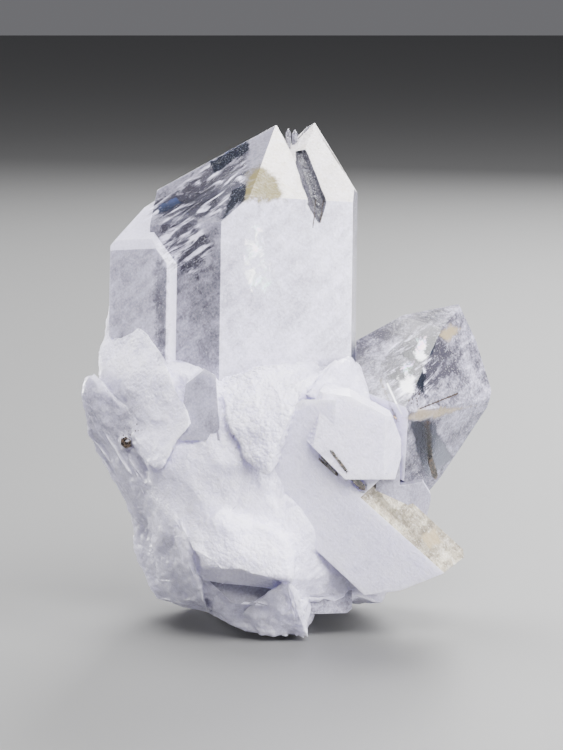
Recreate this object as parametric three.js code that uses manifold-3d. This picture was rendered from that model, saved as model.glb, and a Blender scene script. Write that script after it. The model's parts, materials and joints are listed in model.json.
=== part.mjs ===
import * as THREE from 'three';
import { ConvexGeometry } from 'three/addons/geometries/ConvexGeometry.js';
import { ImprovedNoise } from 'three/addons/math/ImprovedNoise.js';
import { mergeVertices } from 'three/addons/utils/BufferGeometryUtils.js';
import Module from 'manifold-3d';

const wasm = await Module();
wasm.setup();

// Brookite in quartz, about 60 mm high. X runs right, Y away from the viewer and Z up, all in mm.

// Gap kept wherever two pieces meet
const CLEARANCE = 0.3;

// Quartz: a pointed face rises this many degrees from level, and the six sides stand 60 degrees apart
const TIP_RISE = 38.2;

// Main crystal: a point in its middle, how far it leans, and how far the crystals reach below that point
const MAIN_MIDDLE = [-6.4, 2.4, 30.6];
const MAIN_LEAN_BACK = 10;
const MAIN_LEAN_RIGHT = 0.8;
const MAIN_FOOT = 15;
const SLAB_FOOT = 9;

// Distance of each side from that point, by the direction in degrees that it looks in from the front
const LEFT_SIDES = { 24: 11.4, 84: 14.0, 144: 9.6, 204: 9.0, 264: 9.3, 324: 11.5 };
const RIGHT_SIDES = { 24: 11.4, 84: 14.6, 144: 9.2, 204: 8.0, 264: 4.0, 324: 4.0 };
const SLAB_SIDES = { 24: 5.8, 84: 6.0, 144: 7.0, 204: 6.0, 264: 14.3, 324: 12.6 };
const BACK_SIDES = { 24: -2.0, 84: 5.2, 144: 12.09, 204: 12.89, 264: 6.0, 324: -2.0 };

// Pointed faces: direction, rise and distance from that point
const LEFT_TIP = [
  [24, TIP_RISE, 21.5],
  [84, 28.7, 18.7],
  [144, TIP_RISE, 20.0],
  [204, 38.5, 15.5],
  [324, 44.5, 20.2],
];
const RIGHT_TIP = [
  [24, TIP_RISE, 21.5],
  [84, 31.8, 24.0],
  [144, TIP_RISE, 23.8],
  [204, TIP_RISE, 16.4],
  [264, TIP_RISE, 12.0],
  [324, 46.0, 17.7],
];
const SLAB_TIP = [
  [24, TIP_RISE, 12.2],
  [84, TIP_RISE, 16.0],
  [144, TIP_RISE, 14.5],
  [204, TIP_RISE, 13.4],
  [264, TIP_RISE, 20.4],
  [324, 20.0, 16.7],
  [324, TIP_RISE, 19.1],
];
const BACK_TIP = [
  [24, TIP_RISE, 3.5],
  [84, TIP_RISE, 8.6],
  [144, TIP_RISE, 13.6],
  [204, TIP_RISE, 14.4],
  [264, TIP_RISE, 9.6],
  [324, TIP_RISE, 3.5],
];

// Stub crystals in the notch between the two tips: foot, height and half width
const STUBS = [
  { foot: [0.2, 5.7, 57.2], height: 2.2, reach: 0.35 },
  { foot: [1.0, 6.2, 56.8], height: 2.4, reach: 0.4 },
  { foot: [1.6, 6.8, 56.6], height: 1.9, reach: 0.3 },
];
const STUB_POINT = 1.5;

// Level of the flat broken facet that it rests on
const REST_LEVEL = 0;

// The right crystal is parted right of, in front of and above these places, for the blade sealed in it
const PARTED_RIGHT_OF = 13.6;
const PARTED_IN_FRONT_OF = -5.4;
const PARTED_ABOVE = 19.2;

// Brookite crystals: both ends, width and thickness
const LARGE_BLADE = { ends: [[15.4, -5.6, 26.9], [17.8, -5.3, 18.8]], width: 0.8, thickness: 0.45 };
const THIN_BLADE = { ends: [[11.4, -8.4, 30.4], [12.9, -10.5, 26.8]], width: 0.45, thickness: 0.4 };
const LONG_STREAK = { ends: [[5.0, -15.8, 24.2], [7.0, -15.3, 21.5]], width: 0.4, thickness: 0.4 };
const STREAK_END = { ends: [[6.8, -15.3, 21.7], [9.1, -13.9, 19.1]], width: 0.75, thickness: 0.5 };
const SHORT_STREAK = { ends: [[3.9, -14.9, 23.3], [5.8, -14.3, 21.0]], width: 0.35, thickness: 0.4 };
const LEFT_CRYSTAL = { ends: [[-19.4, -7.2, 24.0], [-18.2, -7.9, 23.2]], width: 1.2, thickness: 0.8 };

// Broken surfaces: height of the ridges and of the pits, and the longest edge of a facet
const BROKEN = { ridge: 0.55, pit: 0.3, edge: 2.9 };
const BROKEN_WIDE = { ridge: 0.55, pit: 0.3, edge: 3.2 };
const WORN = { ridge: 0.3, pit: 0.25, edge: 2.6 };
const FROSTY = { ridge: 0.4, pit: 0.3, edge: 1.8 };
const FROSTY_WIDE = { ridge: 0.4, pit: 0.28, edge: 2.6 };
const SMOOTH = { ridge: 0.2, pit: 0.15, edge: 2.6 };
const CRACKED = { ridge: 0.12, pit: 0.2, edge: 1.8 };

// Width of the ridges and of the pits, how many steps a ridge has, and how much of it they make
const RIDGE_WIDTH = 5.0;
const PIT_WIDTH = 2.1;
const RIDGE_STEPS = 3.2;
const STEP_SHARE = 0.7;

// Places in the noise that the three directions of a shift are read from, far apart so that they differ
const NOISE_PLACES = [3.1, 17.3, 31.5];

// Wedge at each end of a blade: no more of its half length, and no more of its half width
const WEDGE_OF_LENGTH = 0.5;
const WEDGE_OF_WIDTH = 1.2;

// Space beyond the specimen, for cuts that run right out of it
const BEYOND = 60;

// Clear crystal on the right, its point towards the viewer
const RIGHT_FACES = [
  [[18.2, -3.6, 36.2], [13.2, -11.6, 28.7], [8.4, -1.6, 34.5]],
  [[18.2, -3.6, 36.2], [14.6, -11.6, 27.9], [24.2, -1.1, 28.2]],
  [[14.6, -11.6, 27.9], [24.0, -1.4, 27.8], [17.2, -3.6, 17.7]],
  [[13.2, -11.6, 28.7], [13.6, -10.0, 24.3], [11.6, -8.6, 25.3]],
  [[11.2, -1.6, 36.4], [18.2, -3.6, 36.4], [17.3, 1.9, 38.9]],
  [[8.4, -0.6, 34.8], [13.8, -0.6, 37.9], [9.3, 10.4, 32.8]],
  [[13.8, -0.6, 37.9], [20.4, -0.6, 39.3], [14.5, 10.4, 36.1]],
  [[20.6, -0.6, 39.4], [22.2, -0.6, 36.0], [20.6, 10.4, 37.6]],
  [[22.4, -0.6, 35.9], [24.6, -0.6, 28.8], [22.4, 10.4, 34.1]],
  [[24.6, -0.6, 28.8], [24.0, -0.6, 26.6], [24.6, 10.4, 27.3]],
  [[23.9, -0.6, 26.6], [21.4, -0.6, 22.8], [24.0, 10.4, 25.4]],
  [[21.4, -0.6, 22.8], [18.4, -0.6, 18.4], [21.3, 10.4, 21.5]],
  [[18.4, -0.6, 18.4], [17.0, -0.6, 16.8], [18.4, 10.4, 17.2]],
  [[17.0, -0.6, 16.8], [11.9, -0.6, 19.1], [16.9, 10.4, 15.5]],
  [[8.4, -0.6, 34.8], [9.1, -0.6, 20.4], [9.1, 10.4, 32.3]],
  [[11.5, 8.9, 31.2], [20.1, 7.4, 30.2], [14.1, 9.4, 21.2]],
  [[18.7, 5.4, 35.4], [22.3, 3.9, 33.1], [18.9, 8.4, 28.8]],
];

// Milky crystal in front of it
const FRONT_FACES = [
  [[3.6, -16.6, 29.9], [11.3, -15.6, 28.2], [11.3, -14.9, 21.5]],
  [[11.3, -15.6, 28.2], [11.3, -14.9, 21.5], [13.3, -11.6, 23.4]],
  [[2.3, -15.3, 25.3], [2.6, -15.3, 28.8], [3.6, -16.4, 27.0]],
  [[4.4, -13.1, 31.3], [7.3, -13.1, 30.8], [5.5, -16.2, 30.7]],
  [[7.3, -13.1, 30.8], [11.9, -12.6, 28.2], [9.8, -15.6, 29.0]],
  [[11.9, -12.6, 28.2], [13.3, -11.6, 24.6], [11.9, -5.6, 26.9]],
  [[13.3, -11.6, 24.6], [13.3, -11.6, 22.5], [13.3, -5.6, 22.4]],
  [[13.3, -11.6, 22.5], [12.6, -11.6, 20.0], [13.2, -5.6, 21.2]],
  [[12.6, -11.6, 20.0], [6.7, -14.6, 20.5], [12.9, -5.6, 19.0]],
  [[6.7, -16.1, 20.8], [2.3, -16.1, 25.3], [6.9, -5.6, 19.2]],
  [[2.3, -16.1, 25.3], [2.6, -16.1, 28.8], [2.7, -5.6, 24.8]],
  [[2.6, -15.1, 28.7], [4.4, -13.1, 31.3], [3.0, -5.6, 27.2]],
  [[4.4, -13.1, 31.3], [7.3, -13.1, 30.8], [5.1, -5.6, 29.8]],
  [[7.3, -13.1, 30.8], [11.9, -12.6, 28.2], [7.7, -5.6, 29.3]],
  [[4.0, -4.6, 28.3], [12.3, -4.6, 25.9], [7.6, -4.6, 19.8]],
];

// Big milky crystal that runs down to the right, with a beige face on top
const LOWER_FACES = [
  [[13.4, -8.6, 17.9], [20.9, -7.1, 10.7], [13.6, -12.5, 13.4]],
  [[-2.8, -16.1, 29.1], [19.4, -12.1, 10.6], [1.6, -11.6, 13.4]],
  [[-2.9, -14.6, 25.1], [1.6, -11.6, 13.4], [-2.2, -4.6, 22.2]],
  [[1.6, -11.6, 13.4], [10.2, -6.6, 4.5], [2.1, -0.6, 11.8]],
  [[10.2, -6.6, 4.5], [13.8, -6.6, 6.0], [10.4, 1.4, 3.2]],
  [[13.8, -6.6, 6.0], [15.4, -7.1, 6.3], [14.1, 1.4, 4.9]],
  [[15.4, -7.1, 6.1], [19.5, -9.6, 9.2], [16.0, 1.4, 5.2]],
  [[19.5, -9.6, 9.2], [20.9, -7.6, 9.8], [19.7, 1.4, 7.4]],
  [[21.0, -8.6, 10.2], [20.9, -7.1, 10.9], [20.9, 1.4, 8.7]],
  [[20.9, -7.1, 10.7], [13.4, -8.6, 17.9], [20.9, 1.4, 9.2]],
  [[13.4, -8.6, 17.9], [8.6, -9.6, 21.2], [13.2, -0.6, 16.4]],
  [[-2.9, -14.6, 24.1], [0.4, -14.6, 26.7], [-2.5, -0.6, 21.6]],
  [[1.6, 1.4, 17.6], [13.8, 1.4, 12.6], [7.7, 1.4, 5.2]],
  [[21.2, -3.1, 9.9], [13.6, -4.1, 17.1], [12.8, 1.4, 14.1]],
  [[1.6, -5.6, 12.3], [10.3, -3.6, 3.8], [3.3, 1.4, 12.4]],
];

// Its smooth face goes on up to the frosty ledge
const SMOOTH_FACES = [
  [[-2.8, -16.1, 29.1], [19.4, -12.1, 10.6], [1.6, -11.6, 13.4]],
  [[-2.8, -15.6, 26.4], [1.8, -15.6, 29.9], [-2.7, -6.6, 24.5]],
  [[1.8, -15.6, 29.9], [5.5, -15.6, 29.9], [2.1, -6.6, 28.2]],
  [[5.6, -14.6, 29.8], [5.6, -14.6, 21.6], [5.5, -6.6, 25.0]],
  [[-2.8, -15.6, 26.4], [-1.7, -14.6, 20.4], [-2.4, -6.6, 23.8]],
  [[-1.7, -14.6, 20.4], [5.6, -14.6, 21.6], [-0.8, -6.6, 19.2]],
  [[-0.8, -6.6, 25.0], [5.1, -6.6, 25.0], [1.6, -6.6, 20.2]],
];

// Corner between it and the front crystal, where the bent blade ends
const BROW_FACES = [
  [[-2.8, -16.1, 29.1], [19.4, -12.1, 10.6], [1.6, -11.6, 13.4]],
  [[10.6, -13.9, 20.2], [8.2, -13.6, 17.8], [10.6, -6.6, 20.0]],
  [[5.4, -13.9, 21.5], [10.6, -13.9, 21.3], [5.4, -6.6, 21.5]],
  [[5.4, -14.5, 21.5], [5.4, -13.9, 19.0], [5.4, -6.6, 20.0]],
  [[5.4, -14.0, 19.6], [8.2, -13.6, 17.7], [5.4, -6.6, 19.4]],
  [[5.4, -4.6, 21.5], [10.6, -4.6, 20.2], [8.2, -4.6, 17.8]],
];

// Small glassy point at the foot of the main crystal
const POINT_FACES = [
  [[-9.5, -12.1, 33.0], [-11.7, -11.6, 31.2], [-10.5, -12.8, 27.5]],
  [[-9.5, -12.1, 33.0], [-8.3, -12.6, 32.4], [-10.0, -13.0, 27.6]],
  [[-11.7, -11.6, 31.2], [-12.2, -12.1, 27.6], [-11.7, -4.6, 30.2]],
  [[-9.5, -12.1, 33.0], [-11.7, -11.6, 31.2], [-9.8, -4.6, 31.7]],
  [[-9.5, -12.1, 33.0], [-8.2, -12.6, 32.3], [-9.6, -4.6, 31.7]],
  [[-8.2, -12.6, 32.3], [-7.9, -12.6, 27.1], [-8.6, -4.6, 31.1]],
  [[-12.2, -11.6, 24.6], [-7.8, -11.6, 24.6], [-10.3, -4.6, 23.6]],
  [[-12.4, -5.6, 28.4], [-8.4, -5.6, 28.4], [-10.3, -5.6, 26.0]],
];

// Glassy tabular crystal in the recess under the lip
const RECESS_FACES = [
  [[-9.6, -11.1, 8.2], [0.2, -11.6, 7.2], [-4.9, -12.1, 5.7]],
  [[-9.6, -11.1, 8.2], [-8.8, -10.1, 8.6], [-4.3, -10.6, 8.1]],
  [[-9.6, -11.1, 8.2], [-6.4, -11.1, 5.1], [-8.7, -4.6, 5.2]],
  [[-6.4, -11.1, 5.1], [0.4, -11.6, 4.8], [-4.4, -4.6, 4.0]],
  [[0.4, -11.6, 4.8], [0.6, -11.6, 7.5], [0.2, -4.6, 4.0]],
  [[0.6, -10.6, 8.9], [-9.6, -9.6, 9.2], [-4.4, -4.6, 7.9]],
  [[-9.2, -4.6, 6.5], [-0.2, -4.6, 6.5], [-4.4, -4.6, 4.0]],
];

// Glassy piece at the bottom right
const CORNER_FACES = [
  [[2.3, -8.1, 5.8], [7.8, -6.6, 5.2], [5.2, -7.6, 3.1]],
  [[2.3, -8.1, 6.2], [7.8, -6.6, 5.7], [5.3, 1.4, 4.2]],
  [[7.8, -6.6, 5.7], [7.8, -6.6, 3.5], [7.5, 1.4, 2.7]],
  [[7.8, -6.6, 3.4], [7.2, -7.1, 3.0], [7.5, 1.4, 1.9]],
  [[7.4, -7.1, 3.0], [3.0, -8.1, 3.1], [5.3, 1.4, 1.4]],
  [[2.1, -8.1, 6.0], [2.3, -8.1, 2.8], [2.4, 1.4, 2.7]],
  [[2.9, 1.4, 2.7], [7.8, 1.4, 2.7], [5.3, 1.4, 1.4]],
];

// Small clear crystals between the right and the lower crystal
const MIDDLE_FACES = [
  [[13.5, -9.6, 23.6], [15.2, -8.6, 20.5], [13.3, -9.6, 17.1]],
  [[15.2, -8.6, 20.5], [17.1, -5.6, 16.4], [15.6, -7.1, 14.3]],
  [[13.5, -9.6, 23.6], [16.7, -4.6, 17.9], [15.2, -8.6, 20.5]],
  [[13.7, -6.6, 23.3], [17.1, -4.1, 17.8], [14.1, 3.4, 21.4]],
  [[17.1, -4.1, 17.8], [17.2, -4.6, 16.2], [17.2, 3.4, 16.0]],
  [[17.2, -4.6, 16.2], [16.6, -5.6, 14.0], [17.3, 3.4, 14.7]],
  [[16.6, -5.6, 13.7], [12.8, -8.6, 14.3], [16.3, 3.4, 12.2]],
  [[10.5, -8.6, 22.9], [10.6, -8.6, 14.5], [11.0, 3.4, 14.7]],
  [[13.8, 3.4, 19.7], [16.9, 3.4, 14.7], [13.9, 3.4, 13.5]],
];

// Broken milky base
const CORE = {
  surface: BROKEN_WIDE,
  corners: [
    [-21.0, 0.4, 36.0], [-16.4, -0.6, 35.2], [-12.7, -9.1, 32.2], [-7.5, -12.6, 30.4],
    [1.5, -13.6, 30.8], [7.7, -7.6, 32.0], [9.4, 1.4, 30.8], [7.8, 6.4, 33.4], [-22.0, 0.4, 27.5],
    [-21.0, -0.6, 21.0], [-19.4, -0.6, 17.9], [-16.0, -10.6, 21.5], [-8.3, -15.1, 21.7],
    [-2.9, -14.6, 22.7], [3.9, -11.6, 21.0], [12.5, -7.6, 19.4], [14.0, 1.4, 18.8],
    [-17.2, -0.6, 13.0], [-17.7, -0.6, 9.6], [-15.1, -10.1, 13.0], [-11.0, -13.6, 12.5],
    [-4.9, -14.1, 10.9], [-0.2, -13.1, 9.2], [10.0, -5.6, 5.7], [13.8, -0.6, 5.6],
    [-16.5, -0.6, 5.0], [-15.4, 1.4, 2.9], [-9.6, -9.6, 5.6], [0.4, -10.6, 5.3], [12.6, 1.4, 3.9],
    [8.4, -3.6, 3.3], [11.4, -3.6, 3.6],
    [-20.4, 11.4, 25.9], [-19.6, 12.4, 15.6], [-17.1, 12.4, 6.7], [-14.4, 13.4, 2.1],
    [7.4, 13.4, 1.1], [14.2, 11.4, 5.6], [15.2, 11.4, 17.0], [10.6, 10.4, 27.9], [1.7, 13.4, 33.1],
    [-14.4, 11.4, 33.4],
  ],
};

// Part of the base around the facet that it rests on
const FOOT = {
  surface: WORN,
  corners: [
    [-8.4, -9.1, 4.0], [-6.7, -9.1, 2.3], [-5.0, -9.1, 1.3], [1.8, -9.1, 0.4], [2.5, -8.6, 2.0],
    [2.3, -10.6, 5.3], [-3.1, -12.6, 7.2], [-8.4, -10.6, 6.5], [3.4, -5.6, 3.0], [4.4, 0.4, 3.4],
    [-10.0, -0.6, 2.9], [-14.5, 3.4, 3.0], [-12.1, 11.4, 1.5], [4.6, 11.4, 2.7],
    [-9.9, 12.4, -0.6], [1.9, 12.4, -0.6], [-13.3, 11.4, 5.6], [5.0, 11.4, 5.6],
  ],
};

// Outcrop at the left
const LEFT_BLADE = {
  surface: WORN,
  corners: [
    [-24.6, -4.1, 29.4], [-24.3, -4.1, 31.1], [-22.9, -4.1, 31.0], [-21.3, -6.1, 29.4],
    [-17.2, -8.6, 25.9], [-15.1, -9.6, 17.1], [-16.2, -6.6, 13.9], [-18.3, -3.6, 13.8],
    [-19.9, -3.6, 16.9], [-21.5, -3.6, 19.4], [-22.9, -3.6, 22.1], [-24.1, -4.1, 26.0],
    [-24.3, -1.6, 28.8], [-23.4, -0.6, 29.6], [-19.0, 2.4, 24.8], [-18.4, 2.4, 14.9],
    [-20.7, -0.6, 19.1], [-23.0, -1.6, 24.8],
  ],
};

// Panel at the lower left
const LOWER_LEFT = {
  surface: WORN,
  corners: [
    [-18.4, -1.6, 10.5], [-18.0, -2.6, 13.4], [-16.7, -6.6, 16.6], [-13.6, -11.6, 16.9],
    [-11.2, -14.1, 13.5], [-11.8, -13.1, 10.7], [-9.6, -10.6, 5.3], [-12.8, -4.6, 3.5],
    [-15.5, -2.6, 3.6], [-16.5, -2.6, 5.1], [-17.7, -1.6, 7.3], [-18.0, 5.4, 9.4],
    [-14.4, 7.4, 2.6], [-10.6, 5.4, 6.8], [-8.9, -6.6, 3.0],
  ],
};

// White ramp up to the left slab
const RAMP = {
  surface: FROSTY_WIDE,
  corners: [
    [-21.5, 2.4, 38.7], [-21.7, -0.6, 36.1], [-18.9, -2.6, 37.4], [-16.5, -5.1, 36.7],
    [-15.1, -7.6, 34.6], [-13.4, -10.1, 32.2], [-11.2, -13.6, 26.7], [-14.7, -12.6, 21.2],
    [-20.4, -4.6, 23.5], [-22.2, -1.6, 32.4], [-22.2, -3.6, 30.0], [-20.9, 5.4, 35.4],
    [-12.9, 3.4, 27.1], [-20.4, 5.4, 23.1],
  ],
};

// Snow-white ledge in front of the main crystal
const LEDGE = {
  surface: FROSTY,
  corners: [
    [-8.0, -10.1, 31.8], [-6.8, -11.1, 32.3], [-3.6, -11.6, 32.7], [3.0, -8.1, 33.6],
    [4.1, -9.6, 33.0], [2.7, -14.1, 31.3], [1.3, -16.1, 29.7], [-2.8, -17.6, 26.5],
    [-2.2, -17.6, 23.7], [-2.6, -16.6, 21.2], [-4.7, -16.6, 22.9], [-6.4, -15.6, 26.4],
    [-7.4, -13.6, 29.6], [0.4, -17.1, 28.7], [-6.1, -6.6, 31.9], [3.7, -4.6, 32.8],
    [1.6, -10.6, 24.4], [-6.7, -8.6, 26.5],
  ],
};

// Milky lobe between the main crystal and the right one
const LOBE = {
  surface: SMOOTH,
  corners: [
    [3.9, -10.6, 32.7], [5.7, -9.1, 33.7], [7.5, -6.6, 34.0], [8.8, -5.6, 32.6],
    [10.0, -9.6, 28.8], [8.5, -11.6, 27.0], [4.1, -13.6, 29.6], [5.2, -0.6, 31.9],
    [2.4, -13.6, 30.2], [2.6, -10.6, 31.9],
    [7.9, 0.4, 32.6], [9.5, -0.6, 29.5], [7.0, -0.6, 25.2],
  ],
};

// Lip that overhangs the recess
const LIP = {
  surface: FROSTY_WIDE,
  corners: [
    [-11.3, -13.6, 13.5], [-10.8, -14.6, 12.1], [-9.7, -15.1, 10.0], [-5.1, -16.6, 9.7],
    [0.5, -15.6, 8.3], [1.5, -14.1, 10.9], [-0.2, -15.1, 14.6], [-7.7, -15.1, 17.0],
    [-10.2, -8.6, 9.7], [0.4, -8.6, 7.9], [-5.5, -8.6, 8.8], [-8.5, -8.6, 15.1],
    [-0.8, -8.6, 13.3],
  ],
};

// Recess under the lip
const RECESS = {
  surface: WORN,
  corners: [
    [-10.1, -19.6, 10.0], [0.9, -19.6, 8.6], [-0.1, -19.6, 5.9], [-7.9, -19.6, 6.6],
    [-9.5, -11.1, 7.8], [0.2, -11.1, 6.8], [-0.8, -11.6, 5.3], [-7.6, -11.6, 5.6],
  ],
};

// Triangular facet at the very bottom
const FACET = {
  surface: SMOOTH,
  corners: [
    [-0.1, -15.1, 8.9], [1.3, -13.1, 7.1], [2.4, -10.1, 2.6], [2.4, -9.6, 0.6], [0.6, -10.1, 1.6],
    [-2.9, -9.6, 1.0], [-5.5, -11.1, 4.0], [-0.1, -13.1, 5.9], [1.6, -4.6, 4.0], [1.6, -4.6, 0.3],
    [-4.4, -4.6, 1.0], [-0.8, -6.6, 6.3],
  ],
};

// Rough groove between the two tips
const GROOVE = {
  surface: CRACKED,
  corners: [
    [0.4, 3.2, 57.5], [2.6, 3.2, 57.6], [1.2, 1.3, 56.1], [3.6, 1.3, 56.1], [1.8, -0.1, 54.8],
    [4.4, -0.1, 54.8], [2.3, -1.8, 53.1], [5.0, -1.8, 53.1], [2.5, -2.6, 51.9], [5.1, -2.6, 51.9],
    [2.6, -3.0, 50.9], [5.1, -3.0, 50.9], [3.8, -3.3, 48.7], [1.2, 4.8, 57.2], [1.9, 4.8, 57.3],
    [2.6, 1.5, 54.6], [3.4, 1.5, 54.6], [3.4, -0.8, 51.7], [4.3, -0.8, 51.7], [3.5, -1.4, 50.8],
    [4.2, -1.4, 50.8], [3.9, -2.2, 49.2],
  ],
};

// Lump at the back
const BACK_LUMP = {
  surface: BROKEN,
  corners: [
    [-16.9, 11.4, 28.4], [-5.8, 14.4, 25.4], [-7.8, 16.9, 16.1], [-16.0, 15.9, 12.4],
    [-20.6, 8.4, 20.1], [-19.0, 7.4, 25.2], [-10.9, 15.4, 7.4], [-17.1, 14.4, 20.3],
  ],
};

// Broken away at the back, on the right
const BACK_CUT = {
  surface: BROKEN,
  corners: [
    [18.4, 23.4, 29.3], [1.8, 23.4, 21.5], [4.4, 23.4, -0.8], [19.9, 23.4, 3.1], [1.7, 17.4, 25.0],
    [16.3, 5.4, 29.2], [17.0, 4.4, 7.1], [5.5, 11.9, 5.5], [4.0, 14.4, 16.5],
  ],
};

// Broken away at the back, low on the left
const BACK_STEP = {
  surface: BROKEN,
  corners: [
    [-18.9, 23.4, 5.8], [-0.8, 23.4, 8.4], [-0.8, 23.4, -7.5], [-19.0, 23.4, -7.5],
    [-17.0, 9.4, 7.5], [-2.1, 13.9, 9.5], [-1.4, 12.4, -4.9], [-17.0, 8.4, 1.2],
  ],
};

const noise = new ImprovedNoise();
const SAME_PLACE = 1e-5;
const SAME_PLANE = 1e-4;
const PARALLEL = 1e-6;

function point([x, y, z]) {
  return new THREE.Vector3(x, y, z);
}

function toSolid(geometry) {
  const bare = new THREE.BufferGeometry();
  bare.setAttribute('position', geometry.getAttribute('position'));
  if (geometry.index) {
    bare.setIndex(geometry.index);
  }
  const merged = mergeVertices(bare, SAME_PLACE);
  return new wasm.Manifold(new wasm.Mesh({
    numProp: 3,
    vertProperties: new Float32Array(merged.getAttribute('position').array),
    triVerts: new Uint32Array(merged.index.array),
  }));
}

function toGeometry(solid) {
  const mesh = solid.getMesh();
  const geometry = new THREE.BufferGeometry();
  geometry.setAttribute('position', new THREE.BufferAttribute(new Float32Array(mesh.vertProperties), 3));
  geometry.setIndex(new THREE.BufferAttribute(new Uint32Array(mesh.triVerts), 1));
  geometry.computeVertexNormals();
  return geometry;
}

function joined(solids) {
  return solids.reduce((whole, next) => whole.add(next));
}

// Corner where three flat faces meet, or null if they never meet in one point
function meeting(a, b, c) {
  const across = new THREE.Vector3().crossVectors(b.normal, c.normal);
  const spread = a.normal.dot(across);
  if (Math.abs(spread) < PARALLEL) {
    return null;
  }
  const corner = across.multiplyScalar(-a.constant);
  corner.addScaledVector(new THREE.Vector3().crossVectors(c.normal, a.normal), -b.constant);
  corner.addScaledVector(new THREE.Vector3().crossVectors(a.normal, b.normal), -c.constant);
  return corner.divideScalar(spread);
}

// Corners of the crystal that lies behind every one of the faces
function cornersOf(planes) {
  const corners = [];
  for (let i = 0; i < planes.length; i += 1) {
    for (let j = i + 1; j < planes.length; j += 1) {
      for (let k = j + 1; k < planes.length; k += 1) {
        const corner = meeting(planes[i], planes[j], planes[k]);
        if (corner && planes.every((plane) => plane.distanceToPoint(corner) < SAME_PLANE)) {
          corners.push(corner);
        }
      }
    }
  }
  return corners;
}

function crystalFromPlanes(planes) {
  return toSolid(new ConvexGeometry(cornersOf(planes)));
}

// Crystal from faces given by three points each, all of them turned away from the inside
function crystalFromFaces(faces) {
  const inside = new THREE.Vector3();
  faces.flat().forEach((p) => inside.add(point(p)));
  inside.divideScalar(faces.length * 3);
  const planes = faces.map(([a, b, c]) => {
    const plane = new THREE.Plane().setFromCoplanarPoints(point(a), point(b), point(c));
    if (plane.distanceToPoint(inside) > 0) {
      plane.negate();
    }
    return plane;
  });
  return crystalFromPlanes(planes);
}

// Axis of the main crystal, and the level direction that looks at the viewer
function mainAxis() {
  const right = Math.sin(THREE.MathUtils.degToRad(MAIN_LEAN_RIGHT));
  const back = Math.sin(THREE.MathUtils.degToRad(MAIN_LEAN_BACK));
  const up = Math.sqrt(1 - right * right - back * back);
  const axis = new THREE.Vector3(right, back, up);
  const front = new THREE.Vector3(0, -1, 0).addScaledVector(axis, axis.y).normalize();
  return { axis, front };
}

// Six-sided crystal of the parallel group, from the distances of its sides and pointed faces
function parallelCrystal(sides, tip, foot) {
  const { axis, front } = mainAxis();
  const right = new THREE.Vector3().crossVectors(front, axis);
  const middle = point(MAIN_MIDDLE);
  const planes = [];
  const addFace = (turn, rise, distance) => {
    const angle = THREE.MathUtils.degToRad(turn);
    const lift = THREE.MathUtils.degToRad(rise);
    const normal = new THREE.Vector3();
    normal.addScaledVector(front, Math.cos(angle) * Math.cos(lift));
    normal.addScaledVector(right, -Math.sin(angle) * Math.cos(lift));
    normal.addScaledVector(axis, Math.sin(lift));
    planes.push(new THREE.Plane(normal, -normal.dot(middle) - distance));
  };
  Object.entries(sides).forEach(([turn, distance]) => addFace(Number(turn), 0, distance));
  tip.forEach(([turn, rise, distance]) => addFace(turn, rise, distance));
  const down = axis.clone().negate();
  planes.push(new THREE.Plane(down, -down.dot(middle) - foot));
  return crystalFromPlanes(planes);
}

// Halves every edge that is longer than the limit, the same way in both triangles that share it
function withShortEdges(triangles, limit) {
  let current = triangles;
  let changed = true;
  while (changed) {
    changed = false;
    const next = [];
    for (const [a, b, c] of current) {
      const sides = [[a, b, c], [b, c, a], [c, a, b]];
      const long = sides.map(([p, q]) => p.distanceTo(q) > limit);
      const count = long.filter(Boolean).length;
      const half = sides.map(([p, q]) => new THREE.Vector3().addVectors(p, q).multiplyScalar(0.5));
      changed = changed || count > 0;
      if (count === 0) {
        next.push([a, b, c]);
      } else if (count === 3) {
        next.push([a, half[0], half[2]], [half[0], b, half[1]], [half[2], half[1], c], half);
      } else if (count === 1) {
        const i = long.indexOf(true);
        const [p, q, r] = sides[i];
        next.push([p, half[i], r], [half[i], q, r]);
      } else {
        const i = long.indexOf(false);
        const [p, q, r] = sides[i];
        const pastQ = half[(i + 1) % 3];
        const pastR = half[(i + 2) % 3];
        next.push([pastQ, r, pastR], [p, q, pastQ], [p, pastQ, pastR]);
      }
    }
    current = next;
  }
  return current;
}

function trianglesOf(geometry) {
  const position = geometry.getAttribute('position');
  const triangles = [];
  for (let i = 0; i < position.count; i += 3) {
    triangles.push([0, 1, 2].map((k) => new THREE.Vector3().fromBufferAttribute(position, i + k)));
  }
  return triangles;
}

// Uneven shift of a broken surface at one place: broad ridges, partly in steps, and small pits
function brokenShift(p, { ridge, pit }) {
  const wave = (width, offset) => noise.noise(p.x / width + offset, p.y / width + offset, p.z / width);
  const along = (offset) => {
    const broad = wave(RIDGE_WIDTH, offset);
    const stepped = Math.round(broad * RIDGE_STEPS) / RIDGE_STEPS;
    return ridge * (broad + STEP_SHARE * stepped) + pit * wave(PIT_WIDTH, offset * 2);
  };
  return new THREE.Vector3(...NOISE_PLACES.map(along));
}

// Lump of broken quartz: the hull of a few corners, its surface made uneven
function brokenLump({ corners, surface }) {
  const hull = new ConvexGeometry(corners.map(point));
  const triangles = withShortEdges(trianglesOf(hull), surface.edge);
  const moved = triangles.flat().map((p) => p.clone().add(brokenShift(p, surface)));
  return toSolid(new THREE.BufferGeometry().setFromPoints(moved));
}

function blockSolid(low, high) {
  const size = high.map((value, i) => value - low[i]);
  const box = new THREE.BoxGeometry(...size);
  box.translate(...high.map((value, i) => (value + low[i]) / 2));
  return toSolid(box);
}

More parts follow.
